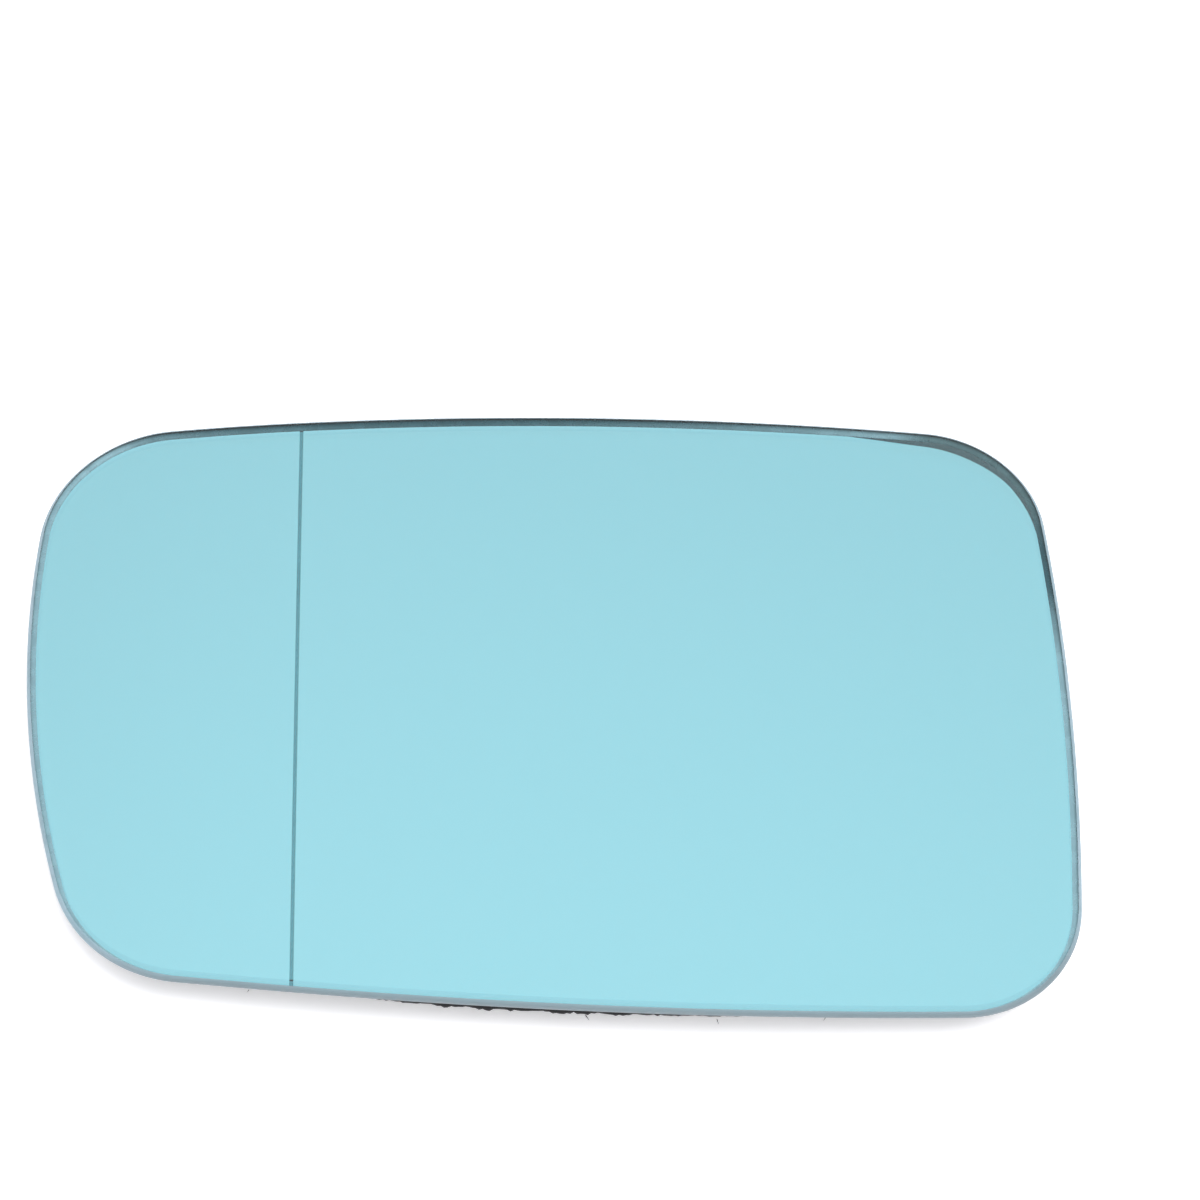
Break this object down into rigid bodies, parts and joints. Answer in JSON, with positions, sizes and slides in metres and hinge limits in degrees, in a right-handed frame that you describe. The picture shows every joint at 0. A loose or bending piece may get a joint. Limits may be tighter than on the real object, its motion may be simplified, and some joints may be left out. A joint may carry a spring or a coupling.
{
  "type": "heated door mirror glass",
  "caption": "Bent mirror pane with a dividing line, heater film with a printed track and eyelets, and a moulded holder plate with windows, a hooked clip ring and a spider.",
  "frame": {"origin": "on the clip ring's axis, at the level where what it holds seats", "axes": "+Z out of the mirror face, +Y up the glass, +X along its length towards the inner end"},
  "size_m": [0.166, 0.11, 0.0153],
  "materials": {
    "glass_pane": "polished",
    "blue_coating": "mirror",
    "grey_film": "satin",
    "printed_track": "matte",
    "eyelet_metal": "bright",
    "black_plastic": "moulded"
  },
  "bodies": {
    "root": {"mirror_glass": "glass_pane", "mirror_coating": "blue_coating", "heater_film": "grey_film", "heater_track": "printed_track", "eyelet_upper": "eyelet_metal", "eyelet_lower": "eyelet_metal", "back_plate": "black_plastic"}
  },
  "joints": []
}
